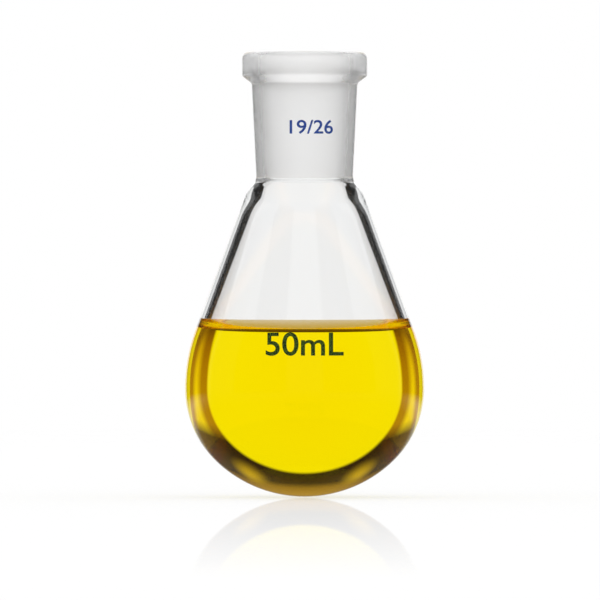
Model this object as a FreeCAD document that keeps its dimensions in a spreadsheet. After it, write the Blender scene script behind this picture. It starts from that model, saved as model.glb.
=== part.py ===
# A pear-shaped evaporating flask of 50 mL with a ground socket, part filled with a yellow liquid.
# The frame stands on the lowest point of the bulb, with +Z up the axis of the flask.
# All sizes are in millimetres and angles in radians.
import FreeCAD, Part
import Sketcher
import math
import os
from types import SimpleNamespace

V = FreeCAD.Vector

# Driving dimensions: alias, value, what it measures.
SIZES = (
    ("overall_height", 91.0, "lowest point of the bulb to the mouth"),
    ("bulb_diameter", 49.0, "outside of the bulb at its widest"),
    ("bulb_wall", 1.5, "glass thickness of the blown bulb"),
    ("side_radius", 20.9, "curve of the lower side of the bulb"),
    ("bottom_flattening", 1.7, "how much the radius of the bottom exceeds that of the bulb"),
    ("upper_radius", 34.0, "curve from the widest place up to the cone"),
    ("shoulder_step", 1.03, "how far the cone, run up to the seal, stands outside the neck"),
    ("shoulder_radius", 4.0, "rounded turn from the cone to the flare, outside"),
    ("inner_shoulder_radius", 4.0, "rounded turn from the cone to the flare, inside"),
    ("flare_radius", 1.2, "hollow turn from the flare to the neck, outside"),
    ("joint_diameter", 18.8, "wide end of the ground taper"),
    ("joint_length", 26.0, "ground length of the taper"),
    ("joint_taper", 10.0, "length in which the taper's diameter drops by one"),
    ("socket_wall", 1.8, "glass thickness round the taper"),
    ("rim_wall", 3.45, "glass thickness of the rim at the mouth"),
    ("rim_height", 4.8, "straight side of the rim, below the mouth"),
    ("rim_slope_height", 1.5, "slope under the rim, down to the neck"),
    ("rim_top_round", 1.2, "outer edge of the mouth"),
    ("rim_under_round", 0.8, "edges of the slope under the rim"),
    ("mouth_round", 0.5, "inner edge of the mouth"),
    ("liquid_below_cone", 0.4, "liquid surface below the foot of the cone"),
    ("meniscus_radius", 2.9, "hollow edge of the liquid surface"),
    ("meniscus_rise", 2.9, "how far the liquid climbs the glass"),
)

doc = FreeCAD.newDocument("flask")
sheet = doc.addObject("Spreadsheet::Sheet", "Sizes")
for row, (alias, value, meaning) in enumerate(SIZES, start=1):
    sheet.set(f"A{row}", meaning)
    sheet.set(f"B{row}", str(value))
    sheet.setAlias(f"B{row}", alias)
doc.recompute()


def size(alias):
    return float(getattr(sheet, alias))


# Places that the pieces share, as expressions on the sheet.
SEAL_HEIGHT = "(Sizes.overall_height - Sizes.joint_length)"
MOUTH_RADIUS = "(Sizes.joint_diameter / 2)"
THROAT_RADIUS = f"({MOUTH_RADIUS} - Sizes.joint_length / Sizes.joint_taper / 2)"
NECK_RADIUS = f"({THROAT_RADIUS} + Sizes.socket_wall)"
RIM_RADIUS = f"({MOUTH_RADIUS} + Sizes.rim_wall)"
RIM_FOOT = "(Sizes.overall_height - Sizes.rim_height)"
SLOPE_FOOT = f"({RIM_FOOT} - Sizes.rim_slope_height)"
# The outside of the neck runs beside the taper, up to the foot of the slope.
NECK_TOP_RADIUS = f"({NECK_RADIUS} + ({SLOPE_FOOT} - {SEAL_HEIGHT}) / Sizes.joint_taper / 2)"
MOUTH_HEIGHT = "Sizes.overall_height"

# The same places as numbers, where the sketches start before their constraints hold them.
seal_height = size("overall_height") - size("joint_length")
mouth_radius = size("joint_diameter") / 2
throat_radius = mouth_radius - size("joint_length") / size("joint_taper") / 2
neck_radius = throat_radius + size("socket_wall")
rim_radius = mouth_radius + size("rim_wall")
rim_foot = size("overall_height") - size("rim_height")
slope_foot = rim_foot - size("rim_slope_height")
neck_top_radius = neck_radius + (slope_foot - seal_height) / size("joint_taper") / 2
mouth_height = size("overall_height")


def on_circle(centre, radius, angle):
    return centre + V(math.cos(angle), math.sin(angle), 0) * radius


def bearing(start, end):
    """The angle at which end lies, seen from start."""
    return math.atan2(end.y - start.y, end.x - start.x)


class Outline:
    """A half outline in a body's XZ plane, held by named constraints and spun about Z."""

    START, END, CENTRE = 1, 2, 3
    AXES = -1
    ORIGIN = (AXES, START)
    UPRIGHT = -2

    def __init__(self, label):
        self.body = doc.addObject("PartDesign::Body", label)
        self.body.Label = label
        planes = {feature.Role: feature for feature in self.body.Origin.OriginFeatures}
        self.sketch = self.body.newObject("Sketcher::SketchObject", f"{label}_outline")
        self.sketch.AttachmentSupport = [(planes["XZ_Plane"], "")]
        self.sketch.MapMode = "FlatFace"

    def line(self, start, end):
        return self.sketch.addGeometry(Part.LineSegment(start, end), False)

    def arc(self, centre, radius, start_angle, end_angle):
        circle = Part.Circle(centre, V(0, 0, 1), radius)
        return self.sketch.addGeometry(Part.ArcOfCircle(circle, start_angle, end_angle), False)

    def guide_point(self, place):
        return self.sketch.addGeometry(Part.Point(place), True)

    def tie(self, kind, *places):
        return self.sketch.addConstraint(Sketcher.Constraint(kind, *places))

    def measure(self, name, expression, kind, *places):
        """A constraint with a size, which starts at the last of places and follows the sheet."""
        index = self.tie(kind, *places)
        self.sketch.renameConstraint(index, name)
        self.sketch.setExpression(f"Constraints.{name}", expression)

    def fix(self, name, geometry, point, across, up):
        """Holds a point at its distance from the axis and its height."""
        at = self.sketch.getPoint(geometry, point)
        self.measure(f"{name}_across", across, "DistanceX", *self.ORIGIN, geometry, point, at.x)
        self.measure(f"{name}_up", up, "DistanceY", *self.ORIGIN, geometry, point, at.y)

    def spin(self):
        turned = self.body.newObject("PartDesign::Revolution", f"{self.body.Name}_turned")
        turned.Profile = self.sketch
        turned.ReferenceAxis = (self.sketch, ["V_Axis"])
        turned.Angle = 360
        doc.recompute()
        return turned


def pear_numbers(inset):
    """Where the curves of the pear start in a sketch, set in from the outside by a thickness."""
    belly = size("bulb_diameter") / 2
    side = size("side_radius")
    bottom = belly + size("bottom_flattening")
    upper = size("upper_radius")
    belly_height = bottom - math.sqrt((bottom - side) ** 2 - (belly - side) ** 2)
    upper_centre = V(belly - upper, belly_height, 0)
    cone_head = V(neck_radius + size("shoulder_step"), seal_height, 0)
    lean = bearing(upper_centre, cone_head) - math.acos(upper / (cone_head - upper_centre).Length)
    return SimpleNamespace(
        belly=belly - inset,
        side=side - inset,
        bottom=bottom - inset,
        upper=upper - inset,
        side_centre=V(belly - side, belly_height, 0),
        bottom_centre=V(0, bottom, 0),
        upper_centre=upper_centre,
        cone_head=cone_head,
        lean=lean,
        cone_foot=on_circle(upper_centre, upper - inset, lean),
        outward=V(math.cos(lean), math.sin(lean), 0),
        upward=V(-math.sin(lean), math.cos(lean), 0),
    )


def pear_side(outline, name, pear, cone_end, inset=None):
    """Bottom arc, side arc, upper arc and cone of the pear, set in by the named thickness.

    The outer cone points at a ring just outside the foot of the neck, and an inner cone runs beside it.
    """
    start, end, centre = outline.START, outline.END, outline.CENTRE
    less = f" - Sizes.{inset}" if inset else ""
    turn = bearing(pear.bottom_centre, pear.side_centre)
    base = outline.arc(pear.bottom_centre, pear.bottom, -math.pi / 2, turn)
    flank = outline.arc(pear.side_centre, pear.side, turn, 0)
    swell = outline.arc(pear.upper_centre, pear.upper, 0, pear.lean)
    cone = outline.line(pear.cone_foot, cone_end)
    head = outline.guide_point(pear.cone_head)
    outline.fix(f"{name}_head", head, start, f"{NECK_RADIUS} + Sizes.shoulder_step", SEAL_HEIGHT)
    if inset:
        outline.tie("PointOnObject", base, start, outline.UPRIGHT)
        outline.measure(f"{name}_pole", f"Sizes.{inset}",
                        "DistanceY", *outline.ORIGIN, base, start, size(inset))
        outline.measure(f"{name}_cone_inset", f"Sizes.{inset}", "Distance", head, start, cone, size(inset))
    else:
        outline.tie("Coincident", base, start, *outline.ORIGIN)
        outline.tie("PointOnObject", head, start, cone)
    outline.tie("PointOnObject", base, centre, outline.UPRIGHT)
    outline.tie("Tangent", base, end, flank, start)
    outline.tie("Tangent", flank, end, swell, start)
    outline.tie("Tangent", swell, end, cone, start)
    outline.tie("Horizontal", flank, centre, flank, end)
    outline.measure(f"{name}_belly", f"Sizes.bulb_diameter / 2{less}",
                    "DistanceX", *outline.ORIGIN, flank, end, pear.belly)
    outline.measure(f"{name}_bottom", f"Sizes.bulb_diameter / 2 + Sizes.bottom_flattening{less}",
                    "Radius", base, pear.bottom)
    outline.measure(f"{name}_side", f"Sizes.side_radius{less}", "Radius", flank, pear.side)
    outline.measure(f"{name}_upper", f"Sizes.upper_radius{less}", "Radius", swell, pear.upper)
    return base, cone


def shoulder_numbers(pear, neck, flare, turn):
    """Where the shoulder and the flare start, between the cone and an upright neck."""
    flare_centre = V(neck + flare, seal_height, 0)
    across = turn + (flare_centre - pear.cone_foot).dot(pear.outward)
    along = math.sqrt((turn + flare) ** 2 - across ** 2)
    turn_centre = flare_centre - pear.outward * across - pear.upward * along
    return SimpleNamespace(
        turn=turn,
        flare=flare,
        turn_centre=turn_centre,
        flare_centre=flare_centre,
        tilt=bearing(turn_centre, flare_centre),
        cone_end=on_circle(turn_centre, turn, pear.lean),
    )


def shoulder_side(outline, name, pear, shoulder, cone, neck, flare, turn):
    """The rounded shoulder and the hollow flare that lead the cone into the neck."""
    start, end, centre = outline.START, outline.END, outline.CENTRE
    rounded = outline.arc(shoulder.turn_centre, shoulder.turn, pear.lean, shoulder.tilt)
    hollow = outline.arc(shoulder.flare_centre, shoulder.flare, math.pi, math.pi + shoulder.tilt)
    outline.fix(f"{name}_neck", hollow, start, neck, SEAL_HEIGHT)
    outline.tie("Tangent", cone, end, rounded, start)
    outline.tie("Tangent", rounded, end, hollow, end)
    outline.tie("Horizontal", hollow, centre, hollow, start)
    outline.measure(f"{name}_turn", turn, "Radius", rounded, shoulder.turn)
    outline.measure(f"{name}_flare", flare, "Radius", hollow, shoulder.flare)
    return hollow


def make_bulb():
    """The blown bulb: a pear of even wall, open at the flared neck where the socket is sealed on."""
    outline = Outline("bulb")
    start, end = outline.START, outline.END
    flare = size("flare_radius")
    outside = pear_numbers(0)
    inside = pear_numbers(size("bulb_wall"))
    outer_turn = shoulder_numbers(outside, neck_radius, flare, size("shoulder_radius"))
    # Inside and outside flare turn about the same ring, one socket wall apart.
    inner_turn = shoulder_numbers(inside, throat_radius, flare + size("socket_wall"),
                                  size("inner_shoulder_radius"))
    outer_base, outer_cone = pear_side(outline, "outer", outside, outer_turn.cone_end)
    inner_base, inner_cone = pear_side(outline, "inner", inside, inner_turn.cone_end, "bulb_wall")
    outer_neck = shoulder_side(outline, "outer", outside, outer_turn, outer_cone,
                               NECK_RADIUS, "Sizes.flare_radius", "Sizes.shoulder_radius")
    inner_neck = shoulder_side(outline, "inner", inside, inner_turn, inner_cone,
                               THROAT_RADIUS, "Sizes.flare_radius + Sizes.socket_wall",
                               "Sizes.inner_shoulder_radius")
    seal = outline.line(V(neck_radius, seal_height, 0), V(throat_radius, seal_height, 0))
    outline.tie("Coincident", seal, start, outer_neck, start)
    outline.tie("Coincident", seal, end, inner_neck, start)
    axis = outline.line(V(0, size("bulb_wall"), 0), V(0, 0, 0))
    outline.tie("Coincident", axis, start, inner_base, start)
    outline.tie("Coincident", axis, end, outer_base, start)
    outline.spin()
    return outline.body


def rings(shape, places):
    """Names of the shape's round edges at the given distances from the axis and heights."""
    near = 1e-3
    found = []
    for number, edge in enumerate(shape.Edges, start=1):
        if not isinstance(edge.Curve, Part.Circle):
            continue
        radius = edge.Curve.Radius
        height = edge.Curve.Center.z
        if any(abs(radius - across) < near and abs(height - up) < near for across, up in places):
            found.append(f"Edge{number}")
    return found


def make_socket():
    """The ground socket: a tapered tube with a thick rim, sealed to the bulb at its lower end."""
    outline = Outline("ground_socket")
    corners = (
        ("throat", throat_radius, seal_height, THROAT_RADIUS, SEAL_HEIGHT),
        ("neck_foot", neck_radius, seal_height, NECK_RADIUS, SEAL_HEIGHT),
        ("neck_head", neck_top_radius, slope_foot, NECK_TOP_RADIUS, SLOPE_FOOT),
        ("rim_low", rim_radius, rim_foot, RIM_RADIUS, RIM_FOOT),
        ("rim_top", rim_radius, mouth_height, RIM_RADIUS, MOUTH_HEIGHT),
        ("mouth", mouth_radius, mouth_height, MOUTH_RADIUS, MOUTH_HEIGHT),
    )
    points = [V(across, up, 0) for name, across, up, across_sheet, up_sheet in corners]
    sides = [outline.line(point, following) for point, following in zip(points, points[1:] + points[:1])]
    for side, before in zip(sides, sides[-1:] + sides[:-1]):
        outline.tie("Coincident", side, outline.START, before, outline.END)
    for side, (name, across, up, across_sheet, up_sheet) in zip(sides, corners):
        outline.fix(name, side, outline.START, across_sheet, up_sheet)
    feature = outline.spin()
    rounded_edges = (
        ("rim_top_round", [(rim_radius, mouth_height)]),
        ("rim_under_round", [(rim_radius, rim_foot), (neck_top_radius, slope_foot)]),
        ("mouth_round", [(mouth_radius, mouth_height)]),
    )
    for alias, places in rounded_edges:
        fillet = outline.body.newObject("PartDesign::Fillet", alias)
        fillet.Base = (feature, rings(feature.Shape, places))
        fillet.setExpression("Radius", f"Sizes.{alias}")
        doc.recompute()
        feature = fillet
    return outline.body


def make_liquid():
    """The liquid: it fills the bulb up to a flat surface, which climbs the glass in a hollow edge."""
    outline = Outline("liquid")
    start, end, centre = outline.START, outline.END, outline.CENTRE
    rise = size("meniscus_rise")
    hollow = size("meniscus_radius")
    pear = pear_numbers(size("bulb_wall"))
    level = pear.cone_foot.y - size("liquid_below_cone")
    wet_edge = pear.cone_foot + pear.upward * ((rise - size("liquid_below_cone")) / pear.upward.y)
    climb = math.asin(rise / hollow - 1)
    surface_end = V(wet_edge.x - hollow * math.cos(climb), level, 0)
    base, cone = pear_side(outline, "fill", pear, wet_edge, "bulb_wall")
    meniscus = outline.arc(surface_end + V(0, hollow, 0), hollow, -math.pi / 2, climb)
    surface = outline.line(V(0, level, 0), surface_end)
    axis = outline.line(V(0, level, 0), V(0, size("bulb_wall"), 0))
    outline.tie("Coincident", meniscus, end, cone, end)
    outline.tie("Vertical", meniscus, centre, meniscus, start)
    outline.tie("Coincident", surface, end, meniscus, start)
    outline.tie("Horizontal", surface)
    outline.tie("PointOnObject", surface, start, outline.UPRIGHT)
    outline.tie("Coincident", axis, start, surface, start)
    outline.tie("Coincident", axis, end, base, start)
    outline.measure("meniscus_hollow", "Sizes.meniscus_radius", "Radius", meniscus, hollow)
    outline.measure("surface_level", "Sizes.liquid_below_cone",
                    "DistanceY", meniscus, start, cone, start, size("liquid_below_cone"))
    outline.measure("meniscus_climb", "Sizes.meniscus_rise",
                    "DistanceY", meniscus, start, meniscus, end, rise)
    outline.spin()
    return outline.body


pieces = [make_bulb(), make_socket(), make_liquid()]
doc.recompute()

for item in doc.Objects:
    if "Invalid" in item.State or "Error" in item.State:
        raise RuntimeError(f"{item.Label} failed: {item.State}")
for piece in pieces:
    if piece.Shape.isNull() or not piece.Shape.isValid():
        raise RuntimeError(f"{piece.Label} has no valid shape")
os.makedirs("parts", exist_ok=True)
for piece in pieces:
    piece.Shape.exportStep(f"parts/{piece.Label}.step")
    print(f"{piece.Label}: {piece.Shape.Volume / 1000:.2f} mL, {piece.Shape.BoundBox}")
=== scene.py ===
from math import acos, atan2, cos, pi, radians, sin, sqrt

import bmesh
import bpy
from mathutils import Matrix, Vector


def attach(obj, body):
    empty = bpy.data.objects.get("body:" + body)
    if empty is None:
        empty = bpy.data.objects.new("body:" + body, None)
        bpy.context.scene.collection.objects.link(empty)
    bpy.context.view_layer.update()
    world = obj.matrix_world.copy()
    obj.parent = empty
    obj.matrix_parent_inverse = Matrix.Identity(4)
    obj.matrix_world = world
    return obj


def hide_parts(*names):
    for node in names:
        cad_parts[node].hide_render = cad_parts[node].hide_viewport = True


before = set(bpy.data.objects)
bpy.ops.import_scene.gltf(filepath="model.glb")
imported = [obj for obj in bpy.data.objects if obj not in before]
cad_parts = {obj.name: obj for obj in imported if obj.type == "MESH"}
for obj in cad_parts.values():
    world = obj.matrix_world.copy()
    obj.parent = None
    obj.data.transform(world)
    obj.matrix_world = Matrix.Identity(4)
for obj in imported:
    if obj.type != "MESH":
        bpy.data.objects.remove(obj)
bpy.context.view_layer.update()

scene = bpy.context.scene


# The flask is one skin of borosilicate glass, blown into a pear, drawn in to
# a neck and sealed to a moulded ground joint. Bulb and joint are melted into
# each other, so the glass is a single closed wall with no seam inside it.
overall_height = 0.091
belly_radius = 0.0245
bulb_wall = 0.0015
side_radius = 0.0209
bottom_flattening = 0.0017
bottom_radius = belly_radius + bottom_flattening
upper_radius = 0.034
shoulder_step = 0.00103
shoulder_radius = 0.010
flare_radius = 0.0025
flare_above_seal = 0.0008
inner_shoulder_radius = 0.030
inner_flare_radius = 0.0006
joint_length = 0.026
joint_taper = 10
mouth_radius = 0.0094
socket_wall = 0.0018
rim_wall = 0.00345
rim_height = 0.0048
rim_slope_height = 0.0015
rim_top_round = 0.0012
rim_under_round = 0.0008
mouth_round = 0.0005
seal_height = overall_height - joint_length
throat_radius = mouth_radius - joint_length / joint_taper / 2
neck_radius = throat_radius + socket_wall
liquid_below_cone = 0.0004
meniscus_rise = 0.0029
spin_steps = 240
merge_distance = 1e-6
glass_index = 1.47
liquid_index = 1.36
glass_sharp_angle = radians(60)


def bearing(start, end):
    """The angle of the line from one outline point to another."""
    return atan2(end.y - start.y, end.x - start.x)


def around(centre, radius, angle):
    """The point at this angle on a circle."""
    return centre + radius * Vector((cos(angle), sin(angle)))


def arc(centre, radius, start, end, step=radians(1.5)):
    """Points along an arc, both ends included."""
    count = max(3, round(abs(end - start) / step))
    return [around(centre, radius, start + (end - start) * i / count) for i in range(count + 1)]


def straight(start, end, step=0.001):
    """Points along a straight run, both ends included."""
    count = max(1, round((end - start).length / step))
    return [start.lerp(end, i / count) for i in range(count + 1)]


side_offset = belly_radius - side_radius
belly_height = bottom_radius - sqrt((bottom_radius - side_radius) ** 2 - side_offset ** 2)
bottom_centre = Vector((0, bottom_radius))
side_centre = Vector((side_offset, belly_height))
upper_centre = Vector((belly_radius - upper_radius, belly_height))
cone_head = Vector((neck_radius + shoulder_step, seal_height))
lean = bearing(upper_centre, cone_head) - acos(upper_radius / (cone_head - upper_centre).length)
outward = Vector((cos(lean), sin(lean)))
upward = Vector((-sin(lean), cos(lean)))


def cone_foot(inset):
    """Where the pear's round flank runs out into its straight cone."""
    return around(upper_centre, upper_radius - inset, lean)


def on_cone(inset, height):
    """The point of the cone at this height."""
    foot = cone_foot(inset)
    return foot + upward * ((height - foot.y) / upward.y)


liquid_level = cone_foot(bulb_wall).y - liquid_below_cone
wet_height = liquid_level + meniscus_rise


def pear(inset):
    """The pear from its lowest point to the foot of its cone, set in from the outside by the inset."""
    turn = bearing(bottom_centre, side_centre)
    points = arc(bottom_centre, bottom_radius - inset, -pi / 2, turn)
    points += arc(side_centre, side_radius - inset, turn, 0)[1:]
    return points + arc(upper_centre, upper_radius - inset, 0, lean)[1:]


def shoulder(inset, neck, flare, turn_radius, flare_height):
    """The cone and the two curves that carry it up into the neck."""
    foot = cone_foot(inset)
    flare_centre = Vector((neck + flare, flare_height))
    across = turn_radius + (flare_centre - foot).dot(outward)
    along = sqrt((turn_radius + flare) ** 2 - across ** 2)
    turn_centre = flare_centre - outward * across - upward * along
    tilt = bearing(turn_centre, flare_centre)
    points = straight(foot, around(turn_centre, turn_radius, lean))[1:]
    points += arc(turn_centre, turn_radius, lean, tilt)[1:]
    return points + arc(flare_centre, flare, pi + tilt, pi, step=radians(3))[1:]


def rounded(before, corner, after, radius):
    """The arc that rounds the corner between two straight runs."""
    back = (before - corner).normalized()
    ahead = (after - corner).normalized()
    half = back.angle(ahead) / 2
    centre = corner + (back + ahead).normalized() * radius / sin(half)
    start = corner + back * (radius / sin(half) * cos(half))
    end = corner + ahead * (radius / sin(half) * cos(half))
    first = bearing(centre, start)
    sweep = (bearing(centre, end) - first + pi) % (2 * pi) - pi
    return arc(centre, radius, first, first + sweep, step=radians(10))


def neck_at(height):
    """The outside of the neck, which widens upwards beside the taper."""
    return Vector((neck_radius + (height - seal_height) / joint_taper / 2, height))


flare_start = neck_at(seal_height + flare_above_seal)
outside = pear(0) + shoulder(0, flare_start.x, flare_radius, shoulder_radius, flare_start.y)


def glass_runs():
    """Up the outside of the flask, over its rim, down the ground taper and down the inside."""
    rim_radius = mouth_radius + rim_wall
    rim_foot = overall_height - rim_height
    corners = [
        (neck_at(seal_height), 0),
        (neck_at(rim_foot - rim_slope_height), rim_under_round),
        (Vector((rim_radius, rim_foot)), rim_under_round),
        (Vector((rim_radius, overall_height)), rim_top_round),
        (Vector((mouth_radius, overall_height)), mouth_round),
        (Vector((throat_radius, seal_height)), 0),
    ]
    outer = outside[:]
    for i in range(1, len(corners) - 1):
        corner, radius = corners[i]
        turn = rounded(corners[i - 1][0], corner, corners[i + 1][0], radius)
        outer += straight(outer[-1], turn[0])[1:] + turn[1:]
    taper = straight(outer[-1], corners[-1][0])
    cone = shoulder(bulb_wall, throat_radius, inner_flare_radius, inner_shoulder_radius, seal_height)
    dry = [p for p in cone if p.y > wet_height]
    wet = pear(bulb_wall) + [p for p in cone if p.y < wet_height]
    wet_edge = on_cone(bulb_wall, wet_height)
    return [
        (outer, 0),
        (taper, 1),
        (dry[::-1] + [wet_edge], 0),
        ([wet_edge] + wet[::-1], 2),
    ]


def add_node(tree, kind, values=(), **settings):
    """A new node in a tree, with its own settings and the values of its input sockets."""
    node = tree.nodes.new(kind)
    for name, value in settings.items():
        setattr(node, name, value)
    for name, value in dict(values).items():
        node.inputs[name].default_value = value
    return node


def spin_tree(finishes):
    """Spins an outline in the XZ plane round the Z axis and closes it.

    Each run of the outline has the number of its finish.
    """
    tree = bpy.data.node_groups.new("spin outline", "GeometryNodeTree")
    new_socket = tree.interface.new_socket
    new_socket(name="Outline", in_out="INPUT", socket_type="NodeSocketGeometry")
    new_socket(name="Steps", in_out="INPUT", socket_type="NodeSocketInt")
    for number in range(finishes):
        new_socket(name=f"Finish {number}", in_out="INPUT", socket_type="NodeSocketMaterial")
    new_socket(name="Spun", in_out="OUTPUT", socket_type="NodeSocketGeometry")
    link = tree.links.new
    given = add_node(tree, "NodeGroupInput").outputs
    points = add_node(tree, "GeometryNodeAttributeDomainSize", component="MESH")
    link(given["Outline"], points.inputs[0])
    columns = add_node(tree, "FunctionNodeIntegerMath", {1: 1}, operation="ADD")
    link(given["Steps"], columns.inputs[0])
    grid = add_node(tree, "GeometryNodeMeshGrid")
    link(columns.outputs[0], grid.inputs["Vertices X"])
    link(points.outputs["Point Count"], grid.inputs["Vertices Y"])
    index = add_node(tree, "GeometryNodeInputIndex").outputs[0]
    run = add_node(tree, "FunctionNodeIntegerMath", operation="MODULO")
    link(index, run.inputs[0])
    link(points.outputs["Edge Count"], run.inputs[1])
    numbers = add_node(tree, "GeometryNodeInputNamedAttribute", {"Name": "finish"}, data_type="INT")
    own_number = add_node(tree, "GeometryNodeSampleIndex", data_type="INT", domain="EDGE")
    link(given["Outline"], own_number.inputs["Geometry"])
    link(numbers.outputs["Attribute"], own_number.inputs["Value"])
    link(run.outputs[0], own_number.inputs["Index"])
    numbered = add_node(tree, "GeometryNodeStoreNamedAttribute", {"Name": "finish"},
                        data_type="INT", domain="FACE")
    link(grid.outputs["Mesh"], numbered.inputs["Geometry"])
    link(own_number.outputs["Value"], numbered.inputs["Value"])
    column = add_node(tree, "FunctionNodeIntegerMath", operation="DIVIDE_FLOOR")
    row = add_node(tree, "FunctionNodeIntegerMath", operation="MODULO")
    for node in (column, row):
        link(index, node.inputs[0])
        link(points.outputs["Point Count"], node.inputs[1])
    drawn = add_node(tree, "GeometryNodeSampleIndex", data_type="FLOAT_VECTOR", domain="POINT")
    link(given["Outline"], drawn.inputs["Geometry"])
    link(add_node(tree, "GeometryNodeInputPosition").outputs[0], drawn.inputs["Value"])
    link(row.outputs[0], drawn.inputs["Index"])
    share = add_node(tree, "ShaderNodeMath", operation="DIVIDE")
    link(column.outputs[0], share.inputs[0])
    link(given["Steps"], share.inputs[1])
    angle = add_node(tree, "ShaderNodeMath", {1: 2 * pi}, operation="MULTIPLY")
    link(share.outputs[0], angle.inputs[0])
    turned = add_node(tree, "ShaderNodeVectorRotate", rotation_type="Z_AXIS")
    link(drawn.outputs["Value"], turned.inputs["Vector"])
    link(angle.outputs[0], turned.inputs["Angle"])
    spun = add_node(tree, "GeometryNodeSetPosition")
    link(numbered.outputs[0], spun.inputs["Geometry"])
    link(turned.outputs[0], spun.inputs["Position"])
    closed = add_node(tree, "GeometryNodeMergeByDistance", {"Distance": merge_distance})
    link(spun.outputs[0], closed.inputs["Geometry"])
    smooth = add_node(tree, "GeometryNodeSetShadeSmooth")
    link(closed.outputs[0], smooth.inputs["Geometry"])
    finished = add_node(tree, "GeometryNodeRealizeInstances")
    link(smooth.outputs[0], finished.inputs["Geometry"])
    for number in range(finishes):
        chosen = add_node(tree, "FunctionNodeCompare", data_type="INT", operation="EQUAL")
        chosen.inputs[3].default_value = number
        link(numbers.outputs["Attribute"], chosen.inputs[2])
        coated = add_node(tree, "GeometryNodeSetMaterial")
        link(finished.outputs[0], coated.inputs["Geometry"])
        link(chosen.outputs[0], coated.inputs["Selection"])
        link(given[f"Finish {number}"], coated.inputs["Material"])
        finished = coated
    link(finished.outputs[0], add_node(tree, "NodeGroupOutput").inputs["Spun"])
    return tree


def spun_piece(name, runs, finishes, sharp_angle):
    """A closed plain mesh spun from runs of outline points, each with the number of its finish."""
    outline = [runs[0][0][0]]
    numbers = []
    for points, number in runs:
        outline += points[1:]
        numbers += [number] * (len(points) - 1)
    mesh = bpy.data.meshes.new(name)
    mesh.from_pydata([(p.x, 0, p.y) for p in outline], [(i, i + 1) for i in range(len(numbers))], [])
    mesh.attributes.new("finish", "INT", "EDGE").data.foreach_set("value", numbers)
    piece = bpy.data.objects.new(name, mesh)
    scene.collection.objects.link(piece)
    spin = piece.modifiers.new("spin", "NODES")
    spin.node_group = spin_tree(len(finishes))
    values = {f"Finish {number}": material for number, material in enumerate(finishes)}
    values["Steps"] = spin_steps
    for socket in spin.node_group.interface.items_tree:
        if socket.name in values:
            spin[socket.identifier] = values[socket.name]
    solid = bpy.data.meshes.new_from_object(piece.evaluated_get(bpy.context.evaluated_depsgraph_get()))
    piece.modifiers.remove(spin)
    piece.data = solid
    solid.name = name
    shell = bmesh.new()
    shell.from_mesh(solid)
    bmesh.ops.recalc_face_normals(shell, faces=shell.faces)
    shell.to_mesh(solid)
    shell.free()
    solid.set_sharp_from_angle(angle=sharp_angle)
    return piece


def new_material(name):
    """A material with an empty node tree and its output node."""
    material = bpy.data.materials.new(name)
    material.use_nodes = True
    tree = material.node_tree
    tree.nodes.clear()
    return material, tree, add_node(tree, "ShaderNodeOutputMaterial")


def noise(tree, scale, detail):
    """A noise that is fixed to the piece."""
    place = add_node(tree, "ShaderNodeTexCoord")
    pattern = add_node(tree, "ShaderNodeTexNoise", {"Scale": scale, "Detail": detail})
    tree.links.new(place.outputs["Object"], pattern.inputs["Vector"])
    return pattern.outputs["Fac"]


def clear_shader(tree, tint, roughness, index):
    """A shader that lets all light through and bends it by an index."""
    return add_node(tree, "ShaderNodeBsdfPrincipled", {
        "Base Color": (*tint, 1), "Roughness": roughness, "IOR": index, "Transmission Weight": 1.0})


def glass_finish(name, tint, roughness, index, unevenness, strength, depth):
    """Glass with an uneven surface: a noise's scale and detail, and how strongly and deeply it shows."""
    material, tree, output = new_material(name)
    glass = clear_shader(tree, tint, roughness, index)
    bump = add_node(tree, "ShaderNodeBump", {"Strength": strength, "Distance": depth})
    tree.links.new(noise(tree, *unevenness), bump.inputs["Height"])
    tree.links.new(bump.outputs["Normal"], glass.inputs["Normal"])
    tree.links.new(glass.outputs[0], output.inputs["Surface"])
    return material


blown_waves = (90.0, 1.0)
blown_strength = 0.02
blown_depth = 0.0004
ground_grain = (6000.0, 2.0)
ground_strength = 0.2
ground_depth = 0.00005
ground_roughness = 0.5
clear_glass = glass_finish("clear borosilicate glass", (0.985, 0.99, 0.992), 0.0, glass_index,
                           blown_waves, blown_strength, blown_depth)
ground_glass = glass_finish("ground glass", (0.995, 0.99, 0.985), ground_roughness, glass_index,
                            ground_grain, ground_strength, ground_depth)
wet_glass = glass_finish("glass wet with the liquid", (1, 1, 1), 0.0, glass_index / liquid_index,
                         blown_waves, blown_strength, blown_depth)

flask_glass = spun_piece("flask_glass", glass_runs(), [clear_glass, ground_glass, wet_glass],
                         glass_sharp_angle)
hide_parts("bulb", "ground_socket")
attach(flask_glass, "root")


# The flask is a little over half full of a clear yellow liquid. It wets the
# glass, so its flat top curls up at the wall. Its skin lies a hair inside the
# glass, so that light goes from one to the other with no film of air between.
meniscus_radius = 0.0029
wetting = 0.00005
liquid_sharp_angle = radians(25)
streak_scale = 140.0
dye_colour = (0.999, 0.975, 0.0, 1)
dye_density = 220.0


def liquid_runs():
    """Up the inside of the bulb to the wet edge, then round the curl and in along the flat top."""
    inset = bulb_wall - wetting
    wet_edge = on_cone(inset, wet_height)
    skin = pear(inset) + straight(cone_foot(inset), wet_edge, step=0.0005)[1:]
    turned = acos(1 - meniscus_rise / meniscus_radius)
    centre = Vector((wet_edge.x - meniscus_radius * sin(turned), liquid_level + meniscus_radius))
    curl = arc(centre, meniscus_radius, turned - pi / 2, -pi / 2, step=radians(5))
    top = curl + straight(curl[-1], Vector((0, liquid_level)))[1:]
    return [(skin, 1), (top, 0)]


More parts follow.
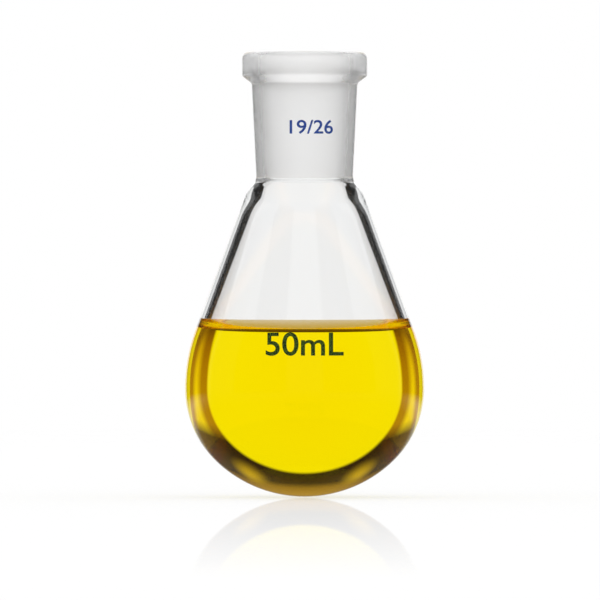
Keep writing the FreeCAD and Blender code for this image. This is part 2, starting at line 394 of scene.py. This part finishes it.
def mottled(tree, scale, deep, pale):
    """A colour that drifts between two shades over the piece."""
    shades = add_node(tree, "ShaderNodeValToRGB")
    for step, position, colour in zip(shades.color_ramp.elements, (0.3, 0.7), (deep, pale)):
        step.position = position
        step.color = (*colour, 1)
    tree.links.new(noise(tree, scale, 2.0), shades.inputs["Fac"])
    return shades.outputs["Color"]


# The free surface comes first of the two, and the skin against the glass, which bends nothing, second.
yellow_liquid, tree, output = new_material("yellow liquid")
link = tree.links.new
in_the_open = clear_shader(tree, (1, 1, 1), 0.0, liquid_index)
on_the_glass = clear_shader(tree, (1, 1, 1), 0.0, 1.0)
shades = mottled(tree, streak_scale, (1.0, 0.985, 0.9), (1.0, 1.0, 0.97))
for shader in (in_the_open, on_the_glass):
    link(shades, shader.inputs["Base Color"])
covered = add_node(tree, "ShaderNodeAttribute", attribute_name="finish")
face = add_node(tree, "ShaderNodeMixShader")
link(covered.outputs["Fac"], face.inputs["Fac"])
link(in_the_open.outputs[0], face.inputs[1])
link(on_the_glass.outputs[0], face.inputs[2])
link(face.outputs[0], output.inputs["Surface"])
dye = add_node(tree, "ShaderNodeVolumeAbsorption", {"Color": dye_colour, "Density": dye_density})
link(dye.outputs[0], output.inputs["Volume"])

liquid = spun_piece("liquid_fill", liquid_runs(), [yellow_liquid, yellow_liquid], liquid_sharp_angle)
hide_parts("liquid")
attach(liquid, "root")


# Two blue marks are printed on the front and fired on: the size of the ground
# joint on the neck and the capacity on the bulb. They are thin films of clear
# blue enamel that follow the glass, so what is behind them shines through.
enamel_thickness = 0.00003
enamel_piece_length = 0.0003
enamel_solid_share = 0.04
stroke_thickening = 0.012
letter_curve_steps = 6
letter_merge_distance = 1e-7
speckle_scale = 2500.0
joint_mark_height = 0.0756
joint_mark_width = 0.0092
joint_mark_size = 0.0039
joint_mark_across = 0.0015
capacity_mark_height = 0.0314
capacity_mark_width = 0.0161
capacity_mark_size = 0.0066

blue_enamel, tree, output = new_material("blue enamel")
link = tree.links.new
tint = add_node(tree, "ShaderNodeBsdfTransparent")
link(mottled(tree, speckle_scale, (0.18, 0.28, 0.56), (0.21, 0.31, 0.60)), tint.inputs["Color"])
pigment = add_node(tree, "ShaderNodeBsdfPrincipled", {"Roughness": 0.35, "IOR": 1.5})
link(mottled(tree, speckle_scale, (0.012, 0.045, 0.26), (0.02, 0.06, 0.32)), pigment.inputs["Base Color"])
film = add_node(tree, "ShaderNodeMixShader", {"Fac": enamel_solid_share})
link(tint.outputs[0], film.inputs[1])
link(pigment.outputs[0], film.inputs[2])
link(film.outputs[0], output.inputs["Surface"])


def radius_at(outline, height):
    """The radius of an outline that only climbs, at this height."""
    for low, high in zip(outline, outline[1:]):
        if low.y <= height <= high.y:
            return low.x + (high.x - low.x) * (height - low.y) / (high.y - low.y)


def printed_mark(name, words, letter_size, width, across, middle_height, outline):
    """Plain lettering cut from a thin film and bent round the front of the glass."""
    curve = bpy.data.curves.new(name, "FONT")
    curve.body = words
    curve.size = letter_size
    curve.extrude = enamel_thickness / 2
    curve.offset = letter_size * stroke_thickening
    curve.resolution_u = letter_curve_steps
    curve.align_x = "CENTER"
    curve.align_y = "CENTER"
    flat = bpy.data.objects.new(name, curve)
    scene.collection.objects.link(flat)
    mesh = bpy.data.meshes.new_from_object(flat.evaluated_get(bpy.context.evaluated_depsgraph_get()))
    bpy.data.objects.remove(flat)
    film_mesh = bmesh.new()
    film_mesh.from_mesh(mesh)
    bmesh.ops.remove_doubles(film_mesh, verts=film_mesh.verts, dist=letter_merge_distance)
    left = min(v.co.x for v in film_mesh.verts)
    right = max(v.co.x for v in film_mesh.verts)
    bottom = min(v.co.y for v in film_mesh.verts)
    top = max(v.co.y for v in film_mesh.verts)
    for v in film_mesh.verts:
        v.co.x = (v.co.x - (left + right) / 2) * width / (right - left)
        v.co.y -= (bottom + top) / 2
    for direction, span in ((Vector((1, 0, 0)), width), (Vector((0, 1, 0)), top - bottom)):
        count = round(span / enamel_piece_length)
        for i in range(1, count):
            parts = film_mesh.verts[:] + film_mesh.edges[:] + film_mesh.faces[:]
            bmesh.ops.bisect_plane(film_mesh, geom=parts, plane_no=direction,
                                   plane_co=direction * (span * (i / count - 0.5)))
    for v in film_mesh.verts:
        height = middle_height + v.co.y
        radius = radius_at(outline, height)
        lift = v.co.z + enamel_thickness / 2
        angle = (v.co.x + across) / radius
        v.co = ((radius + lift) * sin(angle), -(radius + lift) * cos(angle), height)
    bmesh.ops.recalc_face_normals(film_mesh, faces=film_mesh.faces)
    film_mesh.to_mesh(mesh)
    film_mesh.free()
    mesh.name = name
    mesh.materials.clear()
    mesh.materials.append(blue_enamel)
    mark = bpy.data.objects.new(name, mesh)
    scene.collection.objects.link(mark)
    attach(mark, "root")
    return mark


neck_side = [neck_at(seal_height), neck_at(overall_height)]
printed_mark("joint_size_mark", "19/26", joint_mark_size, joint_mark_width,
             joint_mark_across, joint_mark_height, neck_side)
printed_mark("capacity_mark", "50mL", capacity_mark_size, capacity_mark_width,
             0, capacity_mark_height, outside)


# The studio is lit by its world, evenly for all solid surfaces. Glass shows
# four bright windows, with dark cards between them just above the horizon that
# draw the lines along its edges. The liquid shows them in a warm, darker room.
white = (1, 1, 1)
black = (0, 0, 0)
dark_card = (0.02, 0.02, 0.02)
dry_half_width = radians(14)
wall_half_width = radians(16)
wall_most_slant = radians(8)
mirror_half_width = radians(18)
wet_half_width = radians(34)
window_half_height = radians(30)
window_foot = radians(-23)
window_softness = radians(0.7)
wet_softness = 0.04
half_way_round = radians(45)
front_share = 0.05
window_rim = (0.45, 0.3, 0.2)
lamp_aside = radians(25)
lamp_height = radians(36)
lamp_radius = radians(11)
lamp_colour = (0.6, 0.45, 0.12)
room_level = 0.85
mirror_front_edge = 0.2
mirror_back_edge = 0.75
mirror_low_edge = -0.25
mirror_low_share = 0.1
# Light crosses two surfaces in the glass wall alone, four through the empty flask, six
# through the liquid, and more where it leaves the liquid by its top and comes back.
most_in_wall = 2.5
most_in_flask = 4.5
most_in_liquid = 6.5
under_once = 0.5


def give(tree, socket, value):
    """Links a socket to another one, or sets its number or colour."""
    if isinstance(value, bpy.types.NodeSocket):
        tree.links.new(value, socket)
    elif isinstance(value, tuple):
        socket.default_value = (*value, 1)
    else:
        socket.default_value = value


def maths(tree, operation, *values):
    """The result of an operation on numbers or sockets."""
    node = add_node(tree, "ShaderNodeMath", operation=operation)
    for socket, value in zip(node.inputs, values):
        give(tree, socket, value)
    return node.outputs[0]


def spread(tree, value, start, end, low=0.0, high=1.0, **settings):
    """A value that goes from low to high while another goes from start to end."""
    node = add_node(tree, "ShaderNodeMapRange", {
        "From Min": start, "From Max": end, "To Min": low, "To Max": high}, **settings)
    tree.links.new(value, node.inputs["Value"])
    return node.outputs[0]


def blend(tree, share, first, second, blend_type="MIX"):
    """The first colour, turned by a share into the second."""
    node = add_node(tree, "ShaderNodeMix", data_type="RGBA", blend_type=blend_type)
    for name, value in (("Factor", share), ("A", first), ("B", second)):
        give(tree, node.inputs[name], value)
    return node.outputs["Result"]


def length(tree, vector):
    """The length of a vector socket."""
    node = add_node(tree, "ShaderNodeVectorMath", operation="LENGTH")
    tree.links.new(vector, node.inputs[0])
    return node.outputs["Value"]


def combined(tree, across, up):
    """A vector from two sockets."""
    node = add_node(tree, "ShaderNodeCombineXYZ")
    tree.links.new(across, node.inputs["X"])
    tree.links.new(up, node.inputs["Y"])
    return node.outputs[0]


def stepped(tree, value, stops):
    """A colour that follows a value through the stops, each a value and its colour or grey."""
    first, last = stops[0][0], stops[-1][0]
    ramp = add_node(tree, "ShaderNodeValToRGB")
    steps = ramp.color_ramp.elements
    for i, (at, colour) in enumerate(stops):
        step = steps[i] if i < 2 else steps.new((at - first) / (last - first))
        step.position = (at - first) / (last - first)
        step.color = (*colour, 1) if isinstance(colour, tuple) else (colour, colour, colour, 1)
    tree.links.new(spread(tree, value, first, last), ramp.inputs["Fac"])
    return ramp.outputs["Color"]


def room(tree, height, stops):
    """Light that follows the height above the horizon, which the stops give in degrees."""
    return stepped(tree, height, [(radians(angle), light) for angle, light in stops])


def past_edge(tree, angle, half_width):
    """Nought within a window and one beside it."""
    return stepped(tree, angle, [
        (0, 0), (half_width - window_softness, 0), (half_width + window_softness, 1), (half_way_round, 1)])


world = bpy.data.worlds.new("studio")
world.use_nodes = True
scene.world = world
tree = world.node_tree
tree.nodes.clear()
link = tree.links.new
ray = add_node(tree, "ShaderNodeLightPath").outputs
direction = add_node(tree, "ShaderNodeSeparateXYZ")
link(add_node(tree, "ShaderNodeTexCoord").outputs["Generated"], direction.inputs[0])
side = maths(tree, "ABSOLUTE", direction.outputs["X"])
depth = maths(tree, "ABSOLUTE", direction.outputs["Y"])
aside = maths(tree, "ARCTAN2", maths(tree, "MINIMUM", side, depth), maths(tree, "MAXIMUM", side, depth))
height = maths(tree, "ARCSINE", direction.outputs["Z"])
above_sill = maths(tree, "MAXIMUM", height, 0.0)
crossed = ray["Transmission Depth"]
in_wall = maths(tree, "LESS_THAN", crossed, most_in_wall)
in_liquid = maths(tree, "GREATER_THAN", crossed, most_in_flask)
by_surface = maths(tree, "GREATER_THAN", crossed, most_in_liquid)
turned_back = maths(tree, "GREATER_THAN", ray["Glossy Depth"], under_once)
scattered = maths(tree, "GREATER_THAN", ray["Diffuse Depth"], under_once)

# What stands beside the windows, for light from the wall, the empty flask and the liquid.
wall_room = room(tree, height, [(-90, 1.3), (-7, 1.3), (-3, 0.02), (46, 0.02), (54, 1.2), (90, 1.2)])
through_room = room(tree, height, [
    (-90, 1.25), (0, 1.25), (2, 0.02), (24, 0.02), (30, 1.25), (50, 1.25), (60, 0.8), (90, 0.8)])
wet_room = room(tree, height, [
    (-90, (0.09, 0.05, 0.02)), (-23, (0.09, 0.05, 0.02)), (-18, (0.2, 0.1, 0.04)),
    (-13, (0.6, 0.4, 0.12)), (-7, (0.85, 0.66, 0.25)), (-1, (0.95, 0.8, 0.35)),
    (3, (1.0, 0.88, 0.4)), (13, (1.0, 0.88, 0.4)), (19, (0.02, 0.015, 0.008)),
    (38, (0.02, 0.015, 0.008)), (43, (0.3, 0.19, 0.1)), (55, (0.6, 0.38, 0.2)), (90, (0.6, 0.38, 0.2))])
surface_room = room(tree, height, [
    (-90, (0.5, 0.38, 0.1)), (-23, (0.5, 0.38, 0.1)), (-18, (1.0, 0.75, 0.2)), (90, (1.0, 0.75, 0.2))])
from_middle = combined(tree, maths(tree, "DIVIDE", aside, wet_half_width),
                       maths(tree, "DIVIDE", above_sill, window_half_height))
far = length(tree, from_middle)
rim_share = stepped(tree, far, [
    (0, white), (0.98, white), (1.02, window_rim), (1.16, window_rim), (1.3, white), (4, white)])
to_lamp = add_node(tree, "ShaderNodeVectorMath", {1: (lamp_aside, lamp_height, 0)}, operation="DISTANCE")
link(combined(tree, aside, height), to_lamp.inputs[0])
lamp_share = spread(tree, to_lamp.outputs["Value"], lamp_radius, 0.0, interpolation_type="SMOOTHSTEP")
rimmed_room = blend(tree, 1.0, wet_room, rim_share, "MULTIPLY")
warm_room = blend(tree, by_surface, blend(tree, lamp_share, rimmed_room, lamp_colour), surface_room)
dry_room = blend(tree, in_wall, blend(tree, turned_back, through_room, dark_card), wall_room)
room_light = blend(tree, in_liquid, dry_room, warm_room)

# Where the windows end, for the same three, and what is seen through the glass.
wet_past = spread(tree, far, 1 - wet_softness, 1 + wet_softness, interpolation_type="SMOOTHSTEP")
wet_outside = maths(tree, "MAXIMUM", wet_past, maths(tree, "LESS_THAN", height, window_foot))
through_outside = maths(tree, "MAXIMUM", past_edge(tree, aside, dry_half_width), turned_back)
slanted = maths(tree, "SUBTRACT", aside, maths(tree, "MINIMUM", above_sill, wall_most_slant))
wall_outside = past_edge(tree, slanted, wall_half_width)
dry_outside = blend(tree, in_wall, through_outside, wall_outside)
outside_window = blend(tree, in_liquid, dry_outside, wet_outside)
behind_glass = blend(tree, outside_window, white, room_light)
through_glass = blend(tree, scattered, behind_glass, white)

# What smooth glass mirrors: little from the front and from below.
from_front = spread(tree, direction.outputs["Y"], mirror_front_edge, mirror_back_edge, front_share, 1.0)
from_below = spread(tree, direction.outputs["Z"], mirror_low_edge, 0.0, mirror_low_share, 1.0)
shown = maths(tree, "MULTIPLY", from_front, from_below)
in_mirror = blend(tree, past_edge(tree, aside, mirror_half_width), white, room_light)
mirrored = blend(tree, shown, black, in_mirror)
plain = spread(tree, ray["Is Camera Ray"], 0.0, 1.0, room_level, 1.0)
off_glass = maths(tree, "MULTIPLY", ray["Is Glossy Ray"], ray["Is Singular Ray"])
with_mirrored = blend(tree, off_glass, plain, mirrored)
sky = add_node(tree, "ShaderNodeBackground")
link(blend(tree, ray["Is Transmission Ray"], with_mirrored, through_glass), sky.inputs["Color"])
link(sky.outputs[0], add_node(tree, "ShaderNodeOutputWorld").inputs["Surface"])


# A plain white table with a faint polish lies under the flask. It keeps the
# flask's shadow and mirrors it near by, and it fades into the white backdrop.
# The glass itself doesn't show it.
floor_radius = 1.0
floor_gap = 0.0001
floor_segments = 96
gleam_end = 0.57
gleam_share = 0.34
polish_roughness = 0.01
paint_colour = (0.5, 0.5, 0.5, 1)
near_whiteness = 0.43
far_whiteness = 0.58
fade_start = 0.4
mirrored_floor_share = 0.12

floor_mesh = bpy.data.meshes.new("studio_floor")
disc = bmesh.new()
bmesh.ops.create_circle(disc, cap_ends=True, segments=floor_segments, radius=floor_radius)
disc.to_mesh(floor_mesh)
disc.free()
floor = bpy.data.objects.new("studio_floor", floor_mesh)
floor.location.z = -floor_gap
scene.collection.objects.link(floor)
table_top, tree, output = new_material("white table")
link = tree.links.new
ray = add_node(tree, "ShaderNodeLightPath").outputs
away = length(tree, add_node(tree, "ShaderNodeTexCoord").outputs["Object"])
paint = add_node(tree, "ShaderNodeBsdfDiffuse", {"Color": paint_colour})
polish = add_node(tree, "ShaderNodeBsdfGlossy", {"Color": (1, 1, 1, 1), "Roughness": polish_roughness})
surface = add_node(tree, "ShaderNodeMixShader")
link(spread(tree, away, 0.0, gleam_end, gleam_share, 0.0), surface.inputs["Fac"])
link(paint.outputs[0], surface.inputs[1])
link(polish.outputs[0], surface.inputs[2])
seen = maths(tree, "MAXIMUM", ray["Is Glossy Ray"], ray["Is Transmission Ray"])
seen_at_all = maths(tree, "MAXIMUM", seen, ray["Is Camera Ray"])
whiteness = spread(tree, away, 0.0, gleam_end, near_whiteness, far_whiteness)
glow = add_node(tree, "ShaderNodeEmission", {"Color": (1, 1, 1, 1)})
link(maths(tree, "MULTIPLY", seen_at_all, whiteness), glow.inputs["Strength"])
lit = add_node(tree, "ShaderNodeAddShader")
link(surface.outputs[0], lit.inputs[0])
link(glow.outputs[0], lit.inputs[1])
reach = spread(tree, ray["Is Camera Ray"], 0.0, 1.0, mirrored_floor_share, 1.0)
fading = spread(tree, maths(tree, "DIVIDE", away, reach), fade_start, 1.0, interpolation_type="SMOOTHSTEP")
mirror_ray = maths(tree, "MULTIPLY", ray["Is Glossy Ray"], ray["Is Singular Ray"])
by_glass = maths(tree, "MAXIMUM", mirror_ray, ray["Is Transmission Ray"])
faded = add_node(tree, "ShaderNodeMixShader")
link(maths(tree, "MAXIMUM", fading, by_glass), faded.inputs["Fac"])
link(lit.outputs[0], faded.inputs[1])
link(add_node(tree, "ShaderNodeBsdfTransparent").outputs[0], faded.inputs[2])
link(faded.outputs[0], output.inputs["Surface"])
floor_mesh.materials.append(table_top)


# The camera stands two metres off, about level with the middle of the flask,
# and looks straight at its front, where the marks are.
camera_distance = 2.0
camera_height = 0.042
camera_far_end = 20
picture_width = 0.1229
picture_centre = Vector((-0.00094, 0, 0.0403))
sensor_width = 36
camera = bpy.data.objects.new("camera", bpy.data.cameras.new("camera"))
camera.data.sensor_width = sensor_width
camera.data.lens = sensor_width * camera_distance / picture_width
camera.data.clip_end = camera_far_end
camera.location = (picture_centre.x, -camera_distance, camera_height)
camera.rotation_euler = (picture_centre - camera.location).to_track_quat("-Z", "Y").to_euler()
scene.collection.objects.link(camera)
scene.camera = camera

# The curled edge of the liquid is seen by many total reflections, each of which counts as a bounce.
scene.view_settings.view_transform = "Standard"
scene.cycles.max_bounces = 96
scene.cycles.diffuse_bounces = 16
scene.cycles.glossy_bounces = 64
scene.cycles.transmission_bounces = 64
